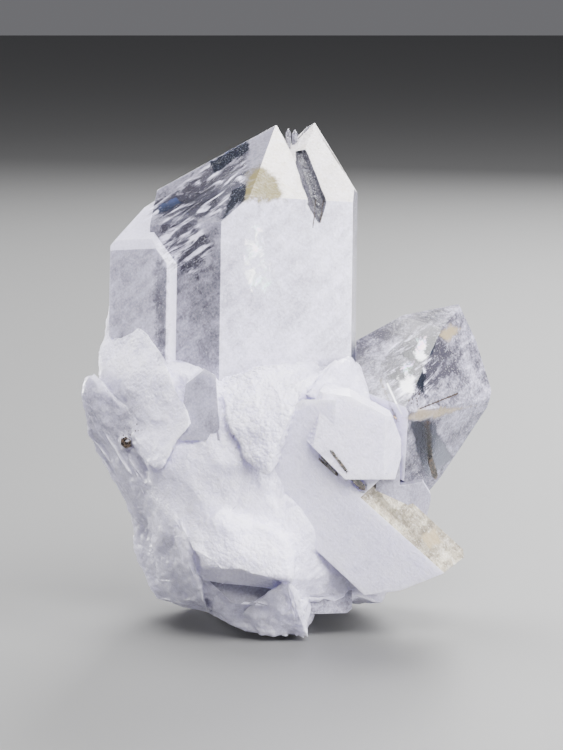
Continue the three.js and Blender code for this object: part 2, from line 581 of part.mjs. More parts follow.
// Flat blade with a wedge at each end, between two points, its broad side to the viewer
function bladeSolid({ ends, width, thickness }, grow = 0) {
  const [start, finish] = ends.map(point);
  const half = start.distanceTo(finish) / 2 + grow;
  const side = width / 2 + grow;
  const wedge = Math.min(half * WEDGE_OF_LENGTH, side * WEDGE_OF_WIDTH);
  const outline = new THREE.Shape([
    new THREE.Vector2(-half, 0),
    new THREE.Vector2(-half + wedge, -side),
    new THREE.Vector2(half - wedge, -side),
    new THREE.Vector2(half, 0),
    new THREE.Vector2(half - wedge, side),
    new THREE.Vector2(-half + wedge, side),
  ]);
  const depth = thickness + 2 * grow;
  const blade = new THREE.ExtrudeGeometry(outline, { depth, bevelEnabled: false });
  blade.translate(0, 0, -depth / 2);
  const along = new THREE.Vector3().subVectors(finish, start).normalize();
  const broad = new THREE.Vector3(0, -1, 0).addScaledVector(along, along.y).normalize();
  const across = new THREE.Vector3().crossVectors(broad, along);
  blade.applyMatrix4(new THREE.Matrix4().makeBasis(along, across, broad));
  blade.translate(...start.add(finish).multiplyScalar(0.5).toArray());
  return toSolid(blade);
}

function brookiteSolids(grow) {
  return {
    brookite_large_blade: bladeSolid(LARGE_BLADE, grow),
    brookite_thin_blade: bladeSolid(THIN_BLADE, grow),
    brookite_long_streak: bladeSolid(LONG_STREAK, grow).add(bladeSolid(STREAK_END, grow)),
    brookite_short_streak: bladeSolid(SHORT_STREAK, grow),
    brookite_left_crystal: bladeSolid(LEFT_CRYSTAL, grow),
  };
}

function baseSolid() {
  const grown = [CORE, BACK_LUMP, FOOT, LEFT_BLADE, LOWER_LEFT, RAMP, LEDGE, LOBE];
  const brokenAway = [BACK_CUT, BACK_STEP, RECESS];
  const kept = brokenAway.reduce(
    (whole, space) => whole.subtract(brokenLump(space)),
    joined(grown.map(brokenLump)),
  );
  return joined([kept, brokenLump(LIP), brokenLump(FACET)]);
}

// Small six-sided crystal with a pointed top, standing the way the main crystal does
function stubSolid({ foot, height, reach }) {
  const side = new THREE.CylinderGeometry(reach, reach, height, 6);
  const tip = new THREE.CylinderGeometry(0, reach, reach * STUB_POINT, 6);
  side.translate(0, height / 2, 0);
  tip.translate(0, height + reach * STUB_POINT * 0.5, 0);
  const upright = new THREE.Quaternion().setFromUnitVectors(new THREE.Vector3(0, 1, 0), mainAxis().axis);
  return joined([side, tip].map((shape) => {
    shape.applyQuaternion(upright);
    shape.translate(...foot);
    return toSolid(shape);
  }));
}

function mainSolid() {
  const pair = joined([
    parallelCrystal(LEFT_SIDES, LEFT_TIP, MAIN_FOOT),
    parallelCrystal(RIGHT_SIDES, RIGHT_TIP, MAIN_FOOT),
  ]);
  const grooved = pair.subtract(brokenLump(GROOVE));
  return joined([grooved, ...STUBS.map(stubSolid)]);
}

function crystalsSolid() {
  const byFaces = [
    RIGHT_FACES, FRONT_FACES, LOWER_FACES, SMOOTH_FACES, BROW_FACES,
    POINT_FACES, RECESS_FACES, CORNER_FACES, MIDDLE_FACES,
  ];
  return joined([
    mainSolid(),
    parallelCrystal(SLAB_SIDES, SLAB_TIP, SLAB_FOOT),
    parallelCrystal(BACK_SIDES, BACK_TIP, SLAB_FOOT),
    ...byFaces.map(crystalFromFaces),
  ]);
}

function restCut() {
  return blockSolid([-BEYOND, -BEYOND, REST_LEVEL - BEYOND], [BEYOND, BEYOND, REST_LEVEL]);
}

// Space of the front half of the right crystal, made larger by the gap where asked
function partedSpace(gap) {
  return blockSolid(
    [PARTED_RIGHT_OF - gap, -BEYOND, PARTED_ABOVE - gap],
    [BEYOND, PARTED_IN_FRONT_OF + gap, BEYOND],
  );
}

function quartzSolids() {
  let whole = joined([crystalsSolid(), baseSolid()]).subtract(restCut());
  Object.values(brookiteSolids(CLEARANCE)).forEach((pocket) => {
    whole = whole.subtract(pocket);
  });
  return {
    quartz_cluster: whole.subtract(partedSpace(CLEARANCE)),
    quartz_right_front: whole.intersect(partedSpace(0)),
  };
}

function piece(name, solid, look) {
  const mesh = new THREE.Mesh(toGeometry(solid), new THREE.MeshStandardMaterial(look));
  mesh.name = name;
  return mesh;
}

const QUARTZ_LOOK = { color: 0xe0e0e8, roughness: 0.2, metalness: 0 };
const BROOKITE_LOOK = { color: 0x3a2a1e, roughness: 0.35, metalness: 0 };

// Brings the middle of the whole specimen's box over the origin, and its foot to the level of the table
function centred(group) {
  const box = new THREE.Box3().setFromObject(group);
  const middle = box.getCenter(new THREE.Vector3());
  group.children.forEach((mesh) => mesh.geometry.translate(-middle.x, -middle.y, -box.min.z));
}

function addPieces(group, solids, look) {
  Object.entries(solids).forEach(([name, solid]) => group.add(piece(name, solid, look)));
}

const group = new THREE.Group();
group.name = 'brookite_in_quartz';
addPieces(group, quartzSolids(), QUARTZ_LOOK);
addPieces(group, brookiteSolids(0), BROOKITE_LOOK);
centred(group);

export default group;
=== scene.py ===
import json
import math
from types import SimpleNamespace

import bpy
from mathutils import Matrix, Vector

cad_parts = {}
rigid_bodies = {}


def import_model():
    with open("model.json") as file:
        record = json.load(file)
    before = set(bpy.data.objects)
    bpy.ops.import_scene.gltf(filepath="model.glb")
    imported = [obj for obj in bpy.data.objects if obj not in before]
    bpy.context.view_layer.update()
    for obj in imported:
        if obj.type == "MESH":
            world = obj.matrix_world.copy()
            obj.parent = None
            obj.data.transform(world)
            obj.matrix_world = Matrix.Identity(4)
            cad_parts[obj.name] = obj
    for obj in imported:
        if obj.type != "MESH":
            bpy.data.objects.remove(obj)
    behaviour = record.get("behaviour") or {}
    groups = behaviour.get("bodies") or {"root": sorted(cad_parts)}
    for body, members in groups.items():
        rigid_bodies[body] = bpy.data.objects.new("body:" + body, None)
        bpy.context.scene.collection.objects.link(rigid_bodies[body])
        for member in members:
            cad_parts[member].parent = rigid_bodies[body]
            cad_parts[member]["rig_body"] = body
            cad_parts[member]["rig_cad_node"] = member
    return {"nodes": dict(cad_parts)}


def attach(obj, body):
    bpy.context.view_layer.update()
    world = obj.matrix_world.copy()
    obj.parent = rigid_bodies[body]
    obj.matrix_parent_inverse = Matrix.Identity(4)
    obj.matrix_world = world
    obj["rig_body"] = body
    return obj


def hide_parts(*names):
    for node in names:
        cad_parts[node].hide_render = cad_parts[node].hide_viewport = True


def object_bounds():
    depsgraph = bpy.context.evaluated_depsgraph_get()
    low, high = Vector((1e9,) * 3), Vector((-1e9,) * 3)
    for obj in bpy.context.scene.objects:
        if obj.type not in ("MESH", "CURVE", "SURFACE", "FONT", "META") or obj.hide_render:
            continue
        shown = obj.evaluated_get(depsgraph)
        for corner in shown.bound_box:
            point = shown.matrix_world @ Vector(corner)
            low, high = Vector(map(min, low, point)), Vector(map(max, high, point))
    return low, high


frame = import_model()
cad_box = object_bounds()

MM = 0.001

# Camera: where the photograph was taken from
VIEW_TARGET = Vector((-0.6, -0.6, 30.7)) * MM
VIEW_RISE = math.radians(8.0)
VIEW_DISTANCE = 350 * MM
LENS = 140.0
SENSOR_WIDTH = 36

# Crystals with a parting, a pocket or a seam in the CAD: each face by three of its points, in mm
RIGHT_FACES = [
    [(18.2, -3.6, 36.2), (13.2, -11.6, 28.7), (8.4, -1.6, 34.5)],
    [(18.2, -3.6, 36.2), (14.6, -11.6, 27.9), (24.2, -1.1, 28.2)],
    [(14.6, -11.6, 27.9), (24.0, -1.4, 27.8), (17.2, -3.6, 17.7)],
    [(13.2, -11.6, 28.7), (13.6, -10.0, 24.3), (11.6, -8.6, 25.3)],
    [(11.2, -1.6, 36.4), (18.2, -3.6, 36.4), (17.3, 1.9, 38.9)],
    [(8.4, -0.6, 34.8), (13.8, -0.6, 37.9), (9.3, 10.4, 32.8)],
    [(13.8, -0.6, 37.9), (20.4, -0.6, 39.3), (14.5, 10.4, 36.1)],
    [(20.6, -0.6, 39.4), (22.2, -0.6, 36.0), (20.6, 10.4, 37.6)],
    [(22.4, -0.6, 35.9), (24.6, -0.6, 28.8), (22.4, 10.4, 34.1)],
    [(24.6, -0.6, 28.8), (24.0, -0.6, 26.6), (24.6, 10.4, 27.3)],
    [(23.9, -0.6, 26.6), (21.4, -0.6, 22.8), (24.0, 10.4, 25.4)],
    [(21.4, -0.6, 22.8), (18.4, -0.6, 18.4), (21.3, 10.4, 21.5)],
    [(18.4, -0.6, 18.4), (17.0, -0.6, 16.8), (18.4, 10.4, 17.2)],
    [(17.0, -0.6, 16.8), (11.9, -0.6, 19.1), (16.9, 10.4, 15.5)],
    [(8.4, -0.6, 34.8), (9.1, -0.6, 20.4), (9.1, 10.4, 32.3)],
    [(11.5, 8.9, 31.2), (20.1, 7.4, 30.2), (14.1, 9.4, 21.2)],
    [(18.7, 5.4, 35.4), (22.3, 3.9, 33.1), (18.9, 8.4, 28.8)],
]
FRONT_FACES = [
    [(3.6, -16.6, 29.9), (11.3, -15.6, 28.2), (11.3, -14.9, 21.5)],
    [(11.3, -15.6, 28.2), (11.3, -14.9, 21.5), (13.3, -11.6, 23.4)],
    [(2.3, -15.3, 25.3), (2.6, -15.3, 28.8), (3.6, -16.4, 27.0)],
    [(4.4, -13.1, 31.3), (7.3, -13.1, 30.8), (5.5, -16.2, 30.7)],
    [(7.3, -13.1, 30.8), (11.9, -12.6, 28.2), (9.8, -15.6, 29.0)],
    [(11.9, -12.6, 28.2), (13.3, -11.6, 24.6), (11.9, -5.6, 26.9)],
    [(13.3, -11.6, 24.6), (13.3, -11.6, 22.5), (13.3, -5.6, 22.4)],
    [(13.3, -11.6, 22.5), (12.6, -11.6, 20.0), (13.2, -5.6, 21.2)],
    [(12.6, -11.6, 20.0), (6.7, -14.6, 20.5), (12.9, -5.6, 19.0)],
    [(6.7, -16.1, 20.8), (2.3, -16.1, 25.3), (6.9, -5.6, 19.2)],
    [(2.3, -16.1, 25.3), (2.6, -16.1, 28.8), (2.7, -5.6, 24.8)],
    [(2.6, -15.1, 28.7), (4.4, -13.1, 31.3), (3.0, -5.6, 27.2)],
    [(4.4, -13.1, 31.3), (7.3, -13.1, 30.8), (5.1, -5.6, 29.8)],
    [(7.3, -13.1, 30.8), (11.9, -12.6, 28.2), (7.7, -5.6, 29.3)],
    [(4.0, -4.6, 28.3), (12.3, -4.6, 25.9), (7.6, -4.6, 19.8)],
]
LOWER_FACES = [
    [(13.4, -8.6, 17.9), (20.9, -7.1, 10.7), (13.6, -12.5, 13.4)],
    [(-2.8, -16.1, 29.1), (19.4, -12.1, 10.6), (1.6, -11.6, 13.4)],
    [(-2.9, -14.6, 25.1), (1.6, -11.6, 13.4), (-2.2, -4.6, 22.2)],
    [(1.6, -11.6, 13.4), (10.2, -6.6, 4.5), (2.1, -0.6, 11.8)],
    [(10.2, -6.6, 4.5), (13.8, -6.6, 6.0), (10.4, 1.4, 3.2)],
    [(13.8, -6.6, 6.0), (15.4, -7.1, 6.3), (14.1, 1.4, 4.9)],
    [(15.4, -7.1, 6.1), (19.5, -9.6, 9.2), (16.0, 1.4, 5.2)],
    [(19.5, -9.6, 9.2), (20.9, -7.6, 9.8), (19.7, 1.4, 7.4)],
    [(21.0, -8.6, 10.2), (20.9, -7.1, 10.9), (20.9, 1.4, 8.7)],
    [(20.9, -7.1, 10.7), (13.4, -8.6, 17.9), (20.9, 1.4, 9.2)],
    [(13.4, -8.6, 17.9), (8.6, -9.6, 21.2), (13.2, -0.6, 16.4)],
    [(-2.9, -14.6, 24.1), (0.4, -14.6, 26.7), (-2.5, -0.6, 21.6)],
    [(1.6, 1.4, 17.6), (13.8, 1.4, 12.6), (7.7, 1.4, 5.2)],
    [(21.2, -3.1, 9.9), (13.6, -4.1, 17.1), (12.8, 1.4, 14.1)],
    [(1.6, -5.6, 12.3), (10.3, -3.6, 3.8), (3.3, 1.4, 12.4)],
]

# The rebuilt crystals stand this far proud of the CAD's, so that their faces take over
SKIN = 0.04
# Each is cut out of a block of this size
BLOCK_SIZE = 60

# Filling of the pocket under the small crystal in the left outcrop
FILLING_PLACE = (-18.8, -6.75, 23.6)
FILLING_RADIUS = 1.35

# A face under this area, in square mm, is broken surface, unless it lies in the plane of a grown one
BROKEN_AREA = 5.4
# How often its edges are divided, how often it is smoothed, and how sharp an edge of it stays sharp
BROKEN_CUTS = 4
BROKEN_ROUNDING = 10
CREASE_ANGLE = math.radians(70)
# Never divided: whatever is narrower than this, and all above the foot of the groove between the tips
SLIVER_WIDTH = 0.1
GROOVE_FOOT = 47.0

# Places, flat stretches and planes that count as the same
MERGED = 1e-7
TRIMMED = 1e-8
SAME_PLACE = 0.01 * MM
FLAT_ANGLE = math.radians(0.9)
SAME_PLANE = 0.03 * MM
SAME_TURN = 0.9999

# Texture of the broken surface: kind, size, how far it moves the surface, and settings, in mm
RELIEFS = [
    ("CLOUDS", 3.4, 0.7, {"noise_depth": 1}),
    ("CLOUDS", 1.1, 0.34, {"noise_depth": 3, "noise_type": "HARD_NOISE"}),
]

# Worn edge of a grown crystal: its width, and how far the faces turn there at least
EDGE_WIDTH = 0.12
EDGE_TURN = math.radians(12)

# Look of a grown face, found by a place on it: milk, frost, warmth (below 0 bluish) and shade
FACE_LOOKS = [
    ((-0.2, -5.4, 42.7), (0.86, 0.06, -1.0, 0.27)),
    ((7.3, -0.5, 44.0), (0.6, 0.06, -0.5, 0.35)),
    # Left face of the main crystal: its grey is partly clearer quartz and partly painted shade, for a
    # face turned away from the lamps
    ((-9.6, -7.2, 44.0), (0.80, 0.10, -0.2, 0.50)),
    ((-2.0, 0.4, 56.4), (0.94, 0.75, 0.6, 0.08)),
    ((4.6, 3.0, 55.6), (0.92, 0.75, 0.5, 0.12)),
    ((-8.6, 0.0, 53.5), (0.55, 0.06, -0.9, 0.46)),
    ((-18.0, -3.1, 40.0), (0.90, 0.12, -0.2, 0.32)),
    ((-18.7, -1.2, 46.4), (0.85, 0.10, -0.1, 0.10)),
    ((-13.5, -6.0, 38.0), (0.92, 0.10, -0.2, 0.04)),
    ((-6.0, 14.0, 40.0), (0.65, 0.15, -0.3, 0.3)),
    ((12.3, -3.8, 34.1), (0.92, 0.16, -0.05, 0.84)),
    ((19.4, -2.8, 35.2), (0.90, 0.14, -0.05, 0.84)),
    ((18.2, -5.6, 23.6), (0.70, 0.30, -0.05, 0.76)),
    ((13.5, -2.0, 36.8), (0.96, 0.16, -0.05, 0.96)),
    ((14.0, 8.5, 27.0), (0.5, 0.2, 0.05, 0.45)),
    ((7.2, -15.9, 26.6), (0.94, 0.30, 0.05, 0.08)),
    ((0.4, -13.6, 20.2), (0.95, 0.30, -0.1, 0.04)),
    ((10.0, -12.8, 13.0), (0.94, 0.30, 0.0, 0.10)),
    ((15.5, -10.0, 13.8), (0.97, 0.30, 1.0, 0.72)),
    ((15.1, -8.3, 18.1), (0.55, 0.20, 0.0, 0.40)),
    ((-10.0, -13.2, 30.0), (0.62, 0.12, -0.1, 0.34)),
    ((-6.1, -11.5, 7.3), (0.45, 0.08, -0.2, 0.40)),
    ((5.1, -7.4, 4.9), (0.75, 0.20, 0.0, 0.50)),
]

# Look of the broken surface around a place, in the same way
BROKEN_LOOKS = [
    ((-17.0, -6.0, 34.0), (0.95, 0.75, -0.1, 0.08)),
    ((-2.0, -12.5, 30.8), (0.98, 1.00, -0.1, 0.02)),
    ((-3.5, -17.0, 25.0), (0.97, 0.90, -0.1, 0.03)),
    ((6.5, -9.0, 31.5), (0.90, 0.30, -0.1, 0.16)),
    ((-8.9, -14.6, 20.4), (0.95, 0.45, -0.1, 0.02)),
    ((-14.8, -12.4, 22.4), (0.93, 0.45, -0.1, 0.08)),
    ((-22.6, -5.0, 27.0), (0.76, 0.25, -0.1, 0.34)),
    ((-19.5, -5.5, 19.5), (0.84, 0.30, -0.15, 0.20)),
    ((-16.3, -5.2, 11.5), (0.86, 0.35, -0.15, 0.18)),
    ((-12.7, -6.5, 4.4), (0.86, 0.40, -0.15, 0.18)),
    ((-5.4, -16.0, 11.5), (0.96, 0.65, -0.1, 0.03)),
    ((-4.0, -9.5, 2.5), (0.88, 0.40, -0.15, 0.12)),
    ((1.0, -11.7, 4.4), (0.88, 0.30, -0.15, 0.16)),
    ((8.5, -5.0, 5.0), (0.90, 0.30, -0.1, 0.12)),
    ((0.0, 15.0, 20.0), (0.90, 0.50, -0.1, 0.18)),
    ((-15.0, 13.0, 16.0), (0.86, 0.45, -0.05, 0.25)),
    ((10.0, 10.0, 12.0), (0.86, 0.45, 0.0, 0.25)),
    ((3.2, 0.0, 54.0), (0.60, 0.60, 0.0, 0.72)),
    ((-4.0, -14.5, 16.0), (0.96, 0.40, -0.1, 0.05)),
]
# How quickly a look gives way to the next one with distance, which is never quite nothing
LOOK_FALL = 5.0
LOOK_NEAREST = 1e-6

# Marks on the front, which fade between these two places in y: outlines of (x, z) corners in mm
FRONT_END = (5.0, 8.0)
# Painted reflections: dark windows where the quartz reflects its dark surroundings inside
DARK_REFLECTIONS = [
    [(-9.3, 55.9), (-4.7, 58.6), (-4.4, 57.4), (-8.6, 54.7)],
    [(-7.4, 50.2), (-6.5, 53.1), (-4.8, 53.9), (-4.9, 52.3)],
    [(-15.6, 50.6), (-13.2, 52.0), (-12.4, 51.4), (-15.2, 50.0)],
    [(13.0, 33.7), (15.6, 35.1), (18.0, 36.1), (17.2, 34.0), (15.7, 33.0), (14.8, 33.1)],
    [(12.0, 31.4), (13.6, 32.8), (15.7, 33.3), (15.0, 31.9), (13.6, 31.0)],
    [(14.9, 31.0), (15.9, 32.8), (16.4, 31.7), (16.0, 29.9)],
]
# Clear quartz with painted reflections: dark and bright streaks that stand for the surroundings seen in
# it
GLASSY_REFLECTIONS = [
    [(-16.6, 49.6), (-16.2, 50.8), (-8.0, 56.4), (-4.6, 58.4), (-5.2, 52.8), (-7.4, 50.3)],
    [(-15.2, 47.4), (-14.4, 49.8), (-10.4, 50.0), (-8.8, 46.6), (-10.6, 43.4), (-13.6, 44.0)],
    [(11.4, 32.0), (12.4, 34.6), (17.2, 37.2), (19.4, 33.8), (16.6, 29.4), (13.0, 29.4)],
]
SHADES = [
    [(15.5, 33.1), (16.8, 33.3), (20.4, 31.7), (17.3, 31.1)],
    [(15.5, 33.0), (17.3, 31.1), (16.1, 29.6), (14.7, 31.0)],
    [(-15.6, 44.8), (-14.2, 44.8), (-14.0, 33.0), (-15.1, 33.0)],
    [(-15.7, 49.9), (-11.6, 53.3), (-8.6, 53.5), (-7.8, 50.4), (-9.5, 50.0)],
]
BEIGES = [
    [(18.2, 36.0), (19.5, 37.0), (20.7, 36.3), (19.3, 35.1)],
    [(13.8, 27.2), (15.5, 28.1), (21.4, 27.3), (18.0, 26.7), (15.0, 26.6)],
    [(15.8, 12.9), (17.4, 13.3), (18.4, 12.0), (16.8, 11.6)],
]
OLIVES = [
    [(-4.9, 52.4), (-4.4, 54.4), (-3.2, 55.4), (-1.6, 54.4), (-0.6, 52.2)],
]
PALES = [
    [(15.2, 34.0), (16.2, 34.3), (16.6, 33.5), (15.8, 33.2)],
    [(13.2, 31.3), (15.0, 31.5), (14.6, 30.1), (13.4, 29.8)],
]
FEATHERS = [
    [(-4.2, 49.6), (-3.4, 49.4), (-1.9, 42.4), (-2.6, 41.4), (-4.2, 42.2), (-5.0, 44.0)],
    [(15.5, 35.2), (16.3, 35.3), (16.3, 34.5), (15.6, 34.4)],
    [(13.9, 32.6), (14.6, 32.7), (14.5, 31.9), (13.9, 31.9)],
]
STAINS = [
    [(14.0, 29.9), (15.4, 30.1), (15.9, 28.9), (15.0, 28.2), (14.2, 28.6)],
    [(-19.3, 24.9), (-18.2, 24.0), (-16.8, 25.7), (-17.6, 26.2)],
    [(-19.4, 24.6), (-18.6, 24.9), (-18.2, 23.4), (-19.0, 23.2)],
]
CLEARINGS = [
    [(14.2, 27.4), (16.4, 27.6), (20.0, 20.8), (17.2, 19.0), (15.6, 21.6)],
]

# Marks that are narrow lines: both ends as (x, z), and the width
BROWN_LINES = [
    ((9.9, 18.6), (14.2, 14.4), 0.8),
    ((11.0, 31.2), (12.9, 26.6), 0.24),
]
DARK_LINES = [
    ((15.5, 28.1), (20.3, 29.1), 0.16),
    ((3.6, 59.8), (7.1, 54.6), 0.18),
    ((3.5, 51.8), (3.1, 48.6), 0.14),
    ((4.4, 51.8), (4.0, 49.2), 0.14),
]
WHITE_LINES = [
    ((11.8, 30.8), (13.4, 27.6), 0.2),
]

# The crystals whiten towards the milky base, between these two heights
BASE_RISE = (34.0, 42.0)

QUARTZ_IOR = 1.544
QUARTZ_ABSORPTION = (0.72, 0.74, 0.82, 1.0)
QUARTZ_DENSITY = 150.0
MILK_DEPTH = 1.8
BROOKITE_IOR = 2.6

# Brookite crystals, how uneven each one's faces are, and the width of their worn edges
BROOKITE_UNEVEN = {
    "brookite_large_blade": 0.06,
    "brookite_thin_blade": 0.06,
    "brookite_long_streak": 0.30,
    "brookite_short_streak": 0.25,
    "brookite_left_crystal": 0.04,
}
BLADE_EDGE = 0.05
BLADE_CUTS = 3
UNEVEN_SIZE = 0.7
# The brookite turns golden between these two heights, and its stripes lean by these degrees
GOLDEN_RISE = (25.0, 26.6)
BLADE_LEAN = 16.5

# Studio: name, place, size and power of each light, and where they all point
LIGHTS = [
    ("right_box", (0.62, -0.30, 0.30), (0.35, 0.5), 16.0),
    ("front_box", (0.12, -0.55, 0.62), (0.4, 0.3), 17.0),
    ("top_box", (-0.15, 0.15, 0.6), (0.4, 0.4), 6.5),
    ("left_box", (-0.55, 0.38, 0.12), (0.3, 0.2), 8.0),
    ("back_box", (0.2, 0.55, 0.35), (0.4, 0.4), 8.0),
]
LIGHTS_TARGET = Vector((0, 0, 30)) * MM
FLOOR_SIZE = 6
FLOOR_COLOUR = (0.12, 0.12, 0.12)
WORLD_COLOUR = (0.16, 0.16, 0.17)


def deselect_all():
    bpy.ops.object.select_all(action="DESELECT")


def only(obj):
    deselect_all()
    obj.select_set(True)
    bpy.context.view_layer.objects.active = obj


def edit(obj, mode="FACE"):
    only(obj)
    bpy.ops.object.mode_set(mode="EDIT")
    bpy.ops.mesh.select_mode(type=mode)


def leave_edit():
    bpy.ops.object.mode_set(mode="OBJECT")


def crystal(name, faces):
    """Crystal cut out of a block, one flat face after the other."""
    points = [Vector(p) for face in faces for p in face]
    inside = sum(points, Vector()) / len(points)
    deselect_all()
    bpy.ops.mesh.primitive_cube_add(size=BLOCK_SIZE * MM, location=inside * MM)
    block = bpy.context.object
    block.name = name
    bpy.ops.object.transform_apply(location=True, rotation=True, scale=True)
    edit(block)
    for corners in faces:
        a, b, c = (Vector(p) for p in corners)
        outward = (b - a).cross(c - a).normalized()
        if (inside - a).dot(outward) > 0:
            outward.negate()
        bpy.ops.mesh.select_all(action="SELECT")
        bpy.ops.mesh.bisect(
            plane_co=(a + outward * SKIN) * MM,
            plane_no=outward,
            use_fill=True,
            clear_outer=True,
            threshold=MERGED,
        )
    leave_edit()
    return block


def filling():
    """Ball that closes the pocket under the small crystal in the outcrop."""
    deselect_all()
    bpy.ops.mesh.primitive_ico_sphere_add(
        subdivisions=2, radius=FILLING_RADIUS * MM, location=Vector(FILLING_PLACE) * MM,
    )
    ball = bpy.context.object
    bpy.ops.object.transform_apply(location=True, rotation=True, scale=True)
    return ball


def copied(node, name):
    """Merged copy of a CAD node."""
    obj = frame["nodes"][node].copy()
    obj.data = frame["nodes"][node].data.copy()
    obj.name = name
    obj.parent = None
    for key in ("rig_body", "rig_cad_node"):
        if key in obj:
            del obj[key]
    bpy.context.scene.collection.objects.link(obj)
    merge(obj, MERGED)
    return obj


def merge(obj, distance):
    edit(obj, "VERT")
    bpy.ops.mesh.select_all(action="SELECT")
    bpy.ops.mesh.remove_doubles(threshold=distance)
    leave_edit()


def apply(obj, kind, **settings):
    """Adds a modifier and applies it."""
    only(obj)
    modifier = obj.modifiers.new(kind.lower(), kind)
    for key, value in settings.items():
        setattr(modifier, key, value)
    bpy.ops.object.modifier_apply(modifier=modifier.name)


def joined(obj, others):
    for other in others:
        apply(obj, "BOOLEAN", operation="UNION", solver="EXACT", object=other)
        bpy.data.objects.remove(other)
    return obj


def is_sliver(mesh, polygon):
    corners = [mesh.vertices[i].co for i in polygon.vertices]
    longest = max((a - b).length for a, b in zip(corners, corners[1:] + corners[:1]))
    return polygon.area < longest * SLIVER_WIDTH * MM


def find_grown(obj):
    """Marks with 1 the flat faces of crystals, the groove, and whatever is too narrow to be divided."""
    polygons = obj.data.polygons
    large = [p for p in polygons if p.area >= BROKEN_AREA * MM * MM]
    planes = [(p.normal.copy(), p.normal.dot(p.center)) for p in large]
    grown = obj.data.attributes.new("grown", "INT", "FACE")
    for p in polygons:
        flat = any(
            normal.dot(p.normal) > SAME_TURN and abs(normal.dot(p.center) - offset) < SAME_PLANE
            for normal, offset in planes
        )
        if flat or is_sliver(obj.data, p) or p.center.z > GROOVE_FOOT * MM:
            grown.data[p.index].value = 1


def grown_flags(obj):
    return [item.value for item in obj.data.attributes["grown"].data]


def broken_group(obj):
    """Group of the vertices that touch broken surface only."""
    flags = grown_flags(obj)
    broken = set(range(len(obj.data.vertices)))
    for p in obj.data.polygons:
        if flags[p.index]:
            broken.difference_update(p.vertices)
    group = obj.vertex_groups.new(name="broken")
    group.add(sorted(broken), 1.0, "REPLACE")
    return group


def refine_broken(obj):
    """Merges the flat faces, then divides the broken ones finely."""
    edit(obj)
    bpy.ops.mesh.select_all(action="SELECT")
    bpy.ops.mesh.dissolve_limited(angle_limit=FLAT_ANGLE)
    leave_edit()
    find_grown(obj)
    edit(obj)
    bpy.ops.mesh.select_all(action="DESELECT")
    leave_edit()
    for polygon, grown in zip(obj.data.polygons, grown_flags(obj)):
        polygon.select = not grown
    edit(obj)
    bpy.ops.mesh.quads_convert_to_tris()
    bpy.ops.mesh.subdivide(number_cuts=BROKEN_CUTS)
    leave_edit()


def displace(obj, name, kind, size, height, middle, settings, **limits):
    """Moves the surface out and in by a texture, with its size and height in mm."""
    texture = bpy.data.textures.new(name, kind)
    texture.noise_scale = size * MM
    for key, value in settings.items():
        setattr(texture, key, value)
    apply(
        obj, "DISPLACE", texture=texture, texture_coords="LOCAL", direction="NORMAL",
        strength=height * MM, mid_level=middle, **limits,
    )


def crumble_broken(obj):
    """Rounds the facets of the broken surface off and gives it its relief."""
    group = broken_group(obj)
    edit(obj, "VERT")
    bpy.ops.mesh.select_all(action="DESELECT")
    obj.vertex_groups.active = group
    bpy.ops.object.vertex_group_select()
    bpy.ops.mesh.vertices_smooth(factor=0.5, repeat=BROKEN_ROUNDING)
    leave_edit()
    for kind, size, height, settings in RELIEFS:
        displace(obj, "relief", kind, size, height, 0.5, settings, vertex_group="broken")


def trim_to_box(obj):
    """Cuts off what the relief lifts out of the box of the CAD."""
    low, high = (Vector(corner) for corner in cad_box)
    edit(obj)
    for corner, sign in ((low, -1), (high, 1)):
        for axis in range(3):
            outward = Vector((0, 0, 0))
            outward[axis] = sign
            bpy.ops.mesh.select_all(action="SELECT")
            bpy.ops.mesh.bisect(
                plane_co=corner, plane_no=outward, use_fill=True, clear_outer=True,
                threshold=TRIMMED,
            )
    leave_edit()


def wear_edges(obj):
    """Narrow bevel along every edge where two grown faces meet."""
    edit(obj, "EDGE")
    bpy.ops.mesh.select_all(action="DESELECT")
    leave_edit()
    flags = grown_flags(obj)
    beside = {}
    for p in obj.data.polygons:
        for key in p.edge_keys:
            beside.setdefault(key, []).append((flags[p.index], p.normal))
    for e in obj.data.edges:
        faces = beside.get(e.key, [])
        if len(faces) == 2 and faces[0][0] and faces[1][0]:
            e.select = faces[0][1].angle(faces[1][1]) > EDGE_TURN
    edit(obj, "EDGE")
    bpy.ops.mesh.bevel(offset=EDGE_WIDTH * MM, segments=2, clamp_overlap=True)
    leave_edit()


def set_shading(obj):
    """Flat crystal faces, and a smooth broken surface with creases."""
    only(obj)
    bpy.ops.object.shade_smooth_by_angle(angle=CREASE_ANGLE)
    for polygon, grown in zip(obj.data.polygons, grown_flags(obj)):
        polygon.use_smooth = not grown


def blended_look(place):
    """Look of the broken surface at a place: those around it, the nearer the stronger."""
    weights = [1 / ((place - Vector(p)).length ** LOOK_FALL + LOOK_NEAREST) for p, _ in BROKEN_LOOKS]
    whole = sum(weights)
    return [sum(w * look[i] for w, (_, look) in zip(weights, BROKEN_LOOKS)) / whole for i in range(4)]


def paint_zones(obj):
    """Stores each corner's milk, frost, warmth and shade in one colour attribute."""
    mesh = obj.data
    flags = grown_flags(obj)
    planes = []
    for place, look in FACE_LOOKS:
        _, _, _, index = obj.closest_point_on_mesh(Vector(place) * MM)
        polygon = mesh.polygons[index]
        planes.append((polygon.normal.copy(), polygon.normal.dot(polygon.center), Vector(place), look))
    broken = [blended_look(v.co / MM) for v in mesh.vertices]
    zone = mesh.color_attributes.new("zone", "FLOAT_COLOR", "CORNER")
    for polygon in mesh.polygons:
        look = None
        if flags[polygon.index]:
            near = [
                (p, look) for normal, offset, p, look in planes
                if normal.dot(polygon.normal) > SAME_TURN
                and abs(normal.dot(polygon.center) - offset) < SAME_PLANE
            ]
            if not near and polygon.area > BROKEN_AREA * MM * MM:
                near = [(p, look) for _, _, p, look in planes]
            # Slivers and small facets take the look of the broken surface
            centre = polygon.center / MM
            look = min(near, key=lambda item: (item[0] - centre).length)[1] if near else None
        for corner in polygon.loop_indices:
            zone.data[corner].color = look or broken[mesh.loops[corner].vertex_index]


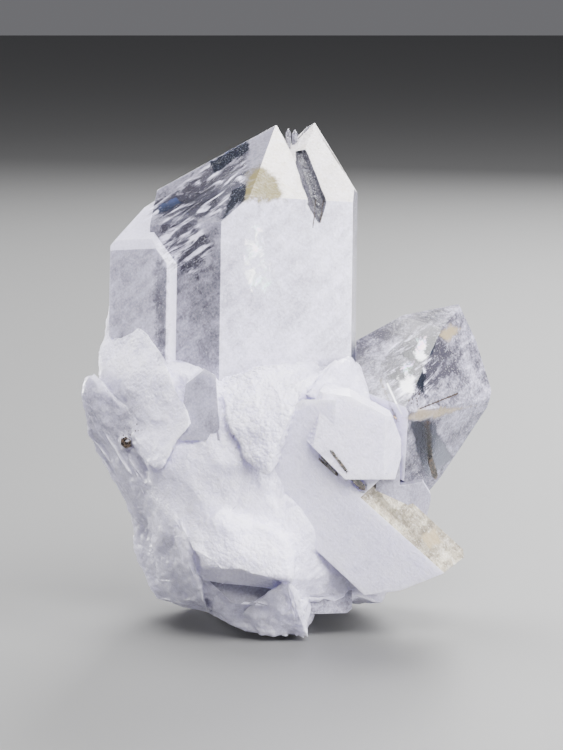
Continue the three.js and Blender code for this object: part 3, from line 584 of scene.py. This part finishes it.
def quartz_piece():
    """The whole quartz in one piece, clear and milky, in place of its two solids."""
    whole = joined(
        copied("quartz_cluster", "quartz"),
        [
            crystal("right_crystal", RIGHT_FACES),
            crystal("lower_crystal", LOWER_FACES),
            crystal("front_crystal", FRONT_FACES),
            filling(),
        ],
    )
    merge(whole, SAME_PLACE)
    refine_broken(whole)
    crumble_broken(whole)
    trim_to_box(whole)
    wear_edges(whole)
    set_shading(whole)
    paint_zones(whole)
    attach(whole, "root")
    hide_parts("quartz_cluster", "quartz_right_front")
    return whole


def brookite_piece(node):
    """Copy of a brookite crystal with worn edges and uneven faces."""
    piece = copied(node, node + "_worn")
    apply(piece, "BEVEL", width=BLADE_EDGE * MM, segments=2, limit_method="ANGLE")
    apply(piece, "SUBSURF", levels=BLADE_CUTS, render_levels=BLADE_CUTS, subdivision_type="SIMPLE")
    displace(piece, "uneven", "CLOUDS", UNEVEN_SIZE, BROOKITE_UNEVEN[node], 0.8, {})
    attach(piece, "root")
    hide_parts(node)
    return piece


class Value:
    """Output of a node that sums can be written with."""

    def __init__(self, maker, socket):
        self.maker = maker
        self.socket = socket

    def math(self, operation, *operands):
        return self.maker.node("Math", {"operation": operation}, dict(enumerate(operands)))

    def __add__(self, other):
        return self.math("ADD", self, other)

    def __radd__(self, other):
        return self.math("ADD", other, self)

    def __sub__(self, other):
        return self.math("SUBTRACT", self, other)

    def __rsub__(self, other):
        return self.math("SUBTRACT", other, self)

    def __mul__(self, other):
        return self.math("MULTIPLY", self, other)

    def __rmul__(self, other):
        return self.math("MULTIPLY", other, self)

    def __pow__(self, other):
        return self.math("POWER", self, other)

    def __rpow__(self, other):
        return self.math("POWER", other, self)

    def least(self, other):
        return self.math("MINIMUM", self, other)

    def most(self, other):
        return self.math("MAXIMUM", self, other)

    def within(self, low=0.0, high=1.0):
        return self.most(low).least(high)

    def between(self, low, high):
        """Rises smoothly from 0 to 1 between the two values."""
        settings = {"interpolation_type": "SMOOTHSTEP"}
        sockets = {"Value": self, "From Min": low, "From Max": high, "To Min": 0.0, "To Max": 1.0}
        return self.maker.node("MapRange", settings, sockets)


class Maker:
    """Adds nodes to one material: the settings first, then the sockets."""

    def __init__(self, name):
        self.material = bpy.data.materials.new(name)
        self.material.use_nodes = True
        self.tree = self.material.node_tree
        self.tree.nodes.clear()
        self.place = self.vector("MULTIPLY", self.node("TexCoord", out="Object"), (1 / MM,) * 3)

    def node(self, kind, settings=None, sockets=None, out=0):
        node = self.tree.nodes.new("ShaderNode" + kind)
        for key, value in (settings or {}).items():
            setattr(node, key, value)
        for key, value in (sockets or {}).items():
            if isinstance(value, Value):
                self.tree.links.new(value.socket, node.inputs[key])
            else:
                node.inputs[key].default_value = value
        return Value(self, node.outputs[out]) if node.outputs else None

    def vector(self, operation, a, b, out=0):
        return self.node("VectorMath", {"operation": operation}, {0: a, 1: b}, out)

    def parts(self, value):
        """The three numbers of a vector."""
        first = self.node("SeparateXYZ", {}, {0: value})
        return [Value(self, socket) for socket in first.socket.node.outputs]

    def mix(self, share, a, b):
        """Colour a, with that share of colour b."""
        a, b = ((*c, 1.0) if isinstance(c, tuple) else c for c in (a, b))
        return self.node("Mix", {"data_type": "RGBA"}, {0: share, 6: a, 7: b}, out=2)

    def noise(self, size, detail=3.0, roughness=0.5, distortion=0.0, place=None):
        """Noise with features of about that size in mm."""
        sockets = {
            "Vector": place or self.place, "Scale": 1 / size, "Detail": detail,
            "Roughness": roughness, "Distortion": distortion,
        }
        return self.node("TexNoise", {}, sockets)

    def swing(self, reach, *args, **settings):
        """The same noise about zero, half the reach either way at most."""
        return (self.noise(*args, **settings) - 0.5) * reach

    def cells(self, size):
        """Distance to the nearest of many scattered points."""
        return self.node("TexVoronoi", {}, {"Vector": self.place, "Scale": 1 / size}, "Distance")

    def turned(self, turn, size):
        """Places turned by these degrees and measured in these sizes."""
        angles = tuple(math.radians(a) for a in turn)
        sockets = {"Vector": self.place, "Rotation": angles, "Scale": size}
        return self.node("Mapping", {"vector_type": "TEXTURE"}, sockets)

    def depth_in(self, outline):
        """How far a place lies inside a convex outline of (x, z) corners."""
        corners = [Vector(c) for c in outline]
        middle = sum(corners, Vector((0, 0))) / len(corners)
        depth = None
        for a, b in zip(corners, corners[1:] + corners[:1]):
            inward = (b - a).orthogonal().normalized()
            if inward.dot(middle - a) < 0:
                inward.negate()
            along = self.vector("DOT_PRODUCT", self.place, (inward.x, 0.0, inward.y), out=1)
            away = along - inward.dot(a)
            depth = away if depth is None else depth.least(away)
        return depth

    def marks(self, outlines, soft, ragged):
        """1 inside any of the outlines, with a soft border made ragged by the value given."""
        depth = None
        for outline in outlines:
            inside = self.depth_in(outline)
            depth = inside if depth is None else depth.most(inside)
        return (depth + ragged).between(-soft / 2, soft / 2)

    def lines(self, lines, soft, ragged):
        """The same for narrow lines."""
        return self.marks([line_outline(*line) for line in lines], soft, ragged)


def line_outline(start, end, width):
    """Outline of a narrow line from end to end."""
    a, b = Vector(start), Vector(end)
    side = (b - a).orthogonal().normalized() * width / 2
    return [tuple(a + side), tuple(b + side), tuple(b - side), tuple(a - side)]


def painted_zone(m):
    """Milk, frost, warmth and shade of a place, as painted on the piece."""
    zone = m.node("Attribute", {"attribute_name": "zone"}, out="Vector")
    milk, frost, warm = m.parts(zone)
    shade = Value(m, zone.socket.node.outputs["Alpha"])
    return SimpleNamespace(milk=milk, frost=frost, warm=warm, shade=shade)


def unevenness(m):
    """Noises of every size, three of them drawn out along a slanting line."""
    rising = m.turned((0, -38, 0), (7, 7, 1.1))
    slanting = m.turned((0, -34, 0), (4, 4, 0.6))
    falling = m.turned((0, 48, 0), (5, 5, 0.5))
    return SimpleNamespace(
        grain=m.swing(3.0, 0.3, detail=2, roughness=0.65),
        cloud=m.swing(3.4, 1.6, detail=4, roughness=0.66, distortion=0.8),
        haze=m.swing(3.4, 6.0, detail=2, roughness=0.55),
        veil=m.swing(3.4, 1.0, roughness=0.6, distortion=0.3, place=rising),
        streak=m.swing(3.4, 1.0, roughness=0.65, distortion=0.6, place=slanting),
        hackle=m.swing(3.0, 1.0, roughness=0.6, distortion=0.5, place=falling),
        # Flecks for painted glints on the frosted surface, which also stand for its white grains
        sparkle=m.noise(0.22, detail=1, roughness=0.7).between(0.6, 0.72),
        specks=1 - m.cells(0.55).between(0.16, 0.3),
        sugar=m.cells(0.45),
    )


def front_marks(m, noise):
    """Each mark on the front, as a value from 0 to 1."""
    _, y, _ = m.parts(m.place)
    front = 1 - y.between(*FRONT_END)
    ragged = noise.cloud * 0.35 + noise.grain * 0.12
    flakes = (noise.cloud + noise.veil * 0.5).between(-0.35, 0.35)
    return SimpleNamespace(
        window=m.marks(DARK_REFLECTIONS, 0.3, ragged * 0.9) * front,
        glassy_reflection=m.marks(GLASSY_REFLECTIONS, 1.0, ragged * 1.5) * front,
        grey=m.marks(SHADES, 0.8, ragged * 1.5) * front,
        beige=m.marks(BEIGES, 0.5, ragged) * front,
        olive=m.marks(OLIVES, 0.8, ragged * 1.5 + 0.3) * front,
        pale=m.marks(PALES, 0.5, ragged * 1.5) * front,
        feather=m.marks(FEATHERS, 0.7, ragged * 2.4) * front * flakes,
        stain=m.marks(STAINS, 0.5, ragged * 2.0) * noise.specks * front,
        clearing=m.marks(CLEARINGS, 1.0, ragged * 1.2) * front,
        brown=m.lines(BROWN_LINES, 0.3, ragged * 0.6) * front,
        dark_line=m.lines(DARK_LINES, 0.1, ragged * 0.16) * front,
        white_line=m.lines(WHITE_LINES, 0.1, ragged * 0.12) * front,
    )


def broad_change(noise):
    """The larger noises together, which both the milk and its colour follow."""
    return noise.cloud * 0.28 + noise.haze * 0.24 + noise.veil * 0.20


def milky_share(zone, noise, mark):
    """Share of milky quartz, where the rest is clear."""
    streaks = mark.glassy_reflection * (noise.streak.between(-0.1, 0.5) * 0.5 - 0.15)
    share = zone.milk + broad_change(noise) * (1.2 - zone.milk) * 1.3 + streaks
    share = (share - mark.clearing * 0.9).most(zone.frost * noise.sparkle * (1 - mark.clearing))
    share = share.most(mark.window * 0.95).most(mark.pale * 0.95)
    share = share.most(mark.beige * 0.85).most(mark.olive * 0.9)
    share = share.most(mark.feather).most(mark.white_line)
    share = share.most(mark.stain).most(mark.brown * 0.95).most(mark.dark_line)
    return share.within()


def milk_depth(m, zone, noise, mark):
    """How deep and grey the milk looks, from 0 to 1."""
    _, _, z = m.parts(m.place)
    low = 1 - z.between(*BASE_RISE)
    contrast = zone.shade + 0.24
    deep = zone.shade * (1 - low * 0.25) + broad_change(noise) * contrast * 1.4
    deep = deep + noise.grain * contrast * 0.24 + mark.grey * 0.3
    # Painted reflections: streaks that darken and lighten the milk where the quartz is clear
    deep = (deep + mark.glassy_reflection * (0.30 - noise.streak.between(-0.2, 0.5) * 0.75)).within()
    return 1 - (1 - deep) ** 1.8


def milk_colour(m, zone, noise, deep):
    """Colour of the milk: white, greyer with depth, bluish or cream."""
    bluish = m.mix(deep, (0.63, 0.59, 0.985), (0.05, 0.052, 0.11))
    cream = m.mix(deep, (0.86, 0.79, 0.62), (0.12, 0.10, 0.08))
    colour = m.mix(deep, (0.81, 0.78, 0.985), (0.055, 0.051, 0.07))
    colour = m.mix((0 - zone.warm).within() * (0.55 + noise.haze * 0.3).within(), colour, bluish)
    colour = m.mix((zone.warm + noise.cloud * zone.warm * 0.4).within(), colour, cream)
    # White flecks where frosted: painted glints, together with the white grains of the frost
    colour = m.mix(noise.sparkle * (zone.frost * 0.7 + 0.1), colour, (0.96, 0.96, 0.98))
    return m.mix(noise.specks * zone.warm.within() * 0.5, colour, (0.42, 0.36, 0.26))


def marked_colour(m, colour, noise, mark):
    """The colour with every mark laid over it, one after the other."""
    # Colour of the painted dark reflections, near black to deep blue, with a few white glints
    dark = m.mix(noise.haze.within(), (0.012, 0.014, 0.022), (0.05, 0.07, 0.17))
    tint = (noise.veil * 0.5 + 0.15).within(0.0, 0.4)
    rainbow = m.node("CombineColor", {"mode": "HSV"}, {0: noise.cloud * 0.9 + 0.5, 1: tint, 2: 1.0})
    layers = [
        (mark.beige * 0.8, (0.36, 0.29, 0.18)),
        (mark.olive * (0.95 + noise.cloud * 0.3).within(), (0.15, 0.125, 0.045)),
        (mark.window * (1 - noise.sparkle * 0.25), dark),
        (mark.pale.most(mark.white_line), (0.95, 0.96, 1.0)),
        (mark.feather * 0.9, rainbow),
        (mark.brown * (0.62 + noise.cloud * 0.35).within(), (0.10, 0.085, 0.06)),
        (mark.stain.most(mark.dark_line), (0.045, 0.032, 0.022)),
    ]
    for share, layer in layers:
        colour = m.mix(share, colour, layer)
    return colour


def frosted_bump(m, zone, noise):
    """Fine relief where the surface is frosted."""
    frost = zone.frost
    height = noise.grain * frost * 0.3 + noise.cloud * frost * 0.5 + noise.hackle * frost * 0.2
    height = height - noise.sugar * frost * frost * 1.1
    return m.node("Bump", {}, {"Strength": 1.0, "Distance": 0.24 * MM, "Height": height})


def clear_quartz(m, zone, mark, bump):
    # Darker glass where the painted reflections lie
    tint = m.mix((zone.shade + mark.glassy_reflection * 0.3).within(), (0.96, 0.965, 0.99), (0.20, 0.205, 0.27))
    return m.node("BsdfPrincipled", {}, {
        "Base Color": m.mix(mark.clearing, tint, (0.92, 0.90, 0.88)),
        "Roughness": zone.frost * 0.25 * (1 - mark.clearing) + 0.015,
        "IOR": QUARTZ_IOR,
        "Transmission Weight": 1.0,
        "Normal": bump,
    })


def milky_quartz(m, zone, noise, mark, bump):
    colour = milk_colour(m, zone, noise, milk_depth(m, zone, noise, mark))
    return m.node("BsdfPrincipled", {}, {
        "Base Color": marked_colour(m, colour, noise, mark),
        "Roughness": (zone.frost * 0.35 + 0.12) * (1 - mark.window * 0.7),
        "IOR": QUARTZ_IOR,
        "Subsurface Weight": 0.6,
        "Subsurface Radius": (1.0, 1.0, 1.1),
        "Subsurface Scale": MILK_DEPTH * MM,
        "Normal": bump,
    })


def quartz_material():
    """Clear quartz and milky quartz, mixed by the share of milk."""
    m = Maker("quartz")
    zone = painted_zone(m)
    noise = unevenness(m)
    mark = front_marks(m, noise)
    bump = frosted_bump(m, zone, noise)
    surface = m.node("MixShader", {}, {
        0: milky_share(zone, noise, mark),
        1: clear_quartz(m, zone, mark, bump),
        2: milky_quartz(m, zone, noise, mark, bump),
    })
    inside = m.node("VolumeAbsorption", {}, {"Color": QUARTZ_ABSORPTION, "Density": QUARTZ_DENSITY})
    m.node("OutputMaterial", {}, {"Surface": surface, "Volume": inside})
    return m.material


def brookite_material():
    """Dark brown to black, with stripes along the blades, and golden higher up."""
    m = Maker("brookite")
    _, _, z = m.parts(m.place)
    grain = m.noise(0.25, detail=4)
    lengthwise = m.noise(1.0, place=m.turned((0, BLADE_LEAN, 0), (0.12, 0.12, 3.0)))
    golden = (z.between(*GOLDEN_RISE) + (grain - 0.5) * 0.6).within()
    colour = m.mix(grain.between(0.4, 0.7), (0.010, 0.007, 0.005), (0.055, 0.029, 0.014))
    colour = m.mix(golden * 0.8, colour, (0.42, 0.24, 0.09))
    bump = m.node("Bump", {}, {"Strength": 0.6, "Distance": 0.05 * MM, "Height": lengthwise})
    surface = m.node("BsdfPrincipled", {}, {
        "Base Color": colour,
        "Roughness": grain * 0.3 + 0.12,
        "Metallic": 0.1,
        "IOR": BROOKITE_IOR,
        "Normal": bump,
    })
    m.node("OutputMaterial", {}, {"Surface": surface})
    return m.material


def dress(obj, material):
    obj.data.materials.clear()
    obj.data.materials.append(material)


def plain(name, colour, roughness):
    material = bpy.data.materials.new(name)
    material.use_nodes = True
    shader = material.node_tree.nodes["Principled BSDF"]
    shader.inputs["Base Color"].default_value = (*colour, 1)
    shader.inputs["Roughness"].default_value = roughness
    return material


def floor():
    deselect_all()
    bpy.ops.mesh.primitive_plane_add(size=FLOOR_SIZE, location=(0, 0, 0))
    obj = bpy.context.object
    obj.name = "floor"
    dress(obj, plain("floor", FLOOR_COLOUR, 0.6))


def area_light(name, place, size, power):
    data = bpy.data.lights.new(name, "AREA")
    data.shape = "RECTANGLE"
    data.size, data.size_y = size
    data.energy = power
    obj = bpy.data.objects.new(name, data)
    bpy.context.scene.collection.objects.link(obj)
    obj.location = place
    obj.rotation_euler = (LIGHTS_TARGET - Vector(place)).to_track_quat("-Z", "Y").to_euler()
    return obj


def camera():
    data = bpy.data.cameras.new("camera")
    data.lens = LENS
    data.sensor_width = SENSOR_WIDTH
    data.clip_start = 0.01
    obj = bpy.data.objects.new("camera", data)
    bpy.context.scene.collection.objects.link(obj)
    back = Vector((0, -math.cos(VIEW_RISE), math.sin(VIEW_RISE)))
    obj.location = VIEW_TARGET + back * VIEW_DISTANCE
    obj.rotation_euler = (-back).to_track_quat("-Z", "Y").to_euler()
    bpy.context.scene.camera = obj


def world():
    scene = bpy.context.scene
    scene.world = bpy.data.worlds.new("world")
    scene.world.use_nodes = True
    background = scene.world.node_tree.nodes["Background"]
    background.inputs["Color"].default_value = (*WORLD_COLOUR, 1)


quartz = quartz_piece()
dress(quartz, quartz_material())
brookite = brookite_material()
for node in BROOKITE_UNEVEN:
    dress(brookite_piece(node), brookite)

floor()
for light in LIGHTS:
    area_light(*light)
world()
camera()
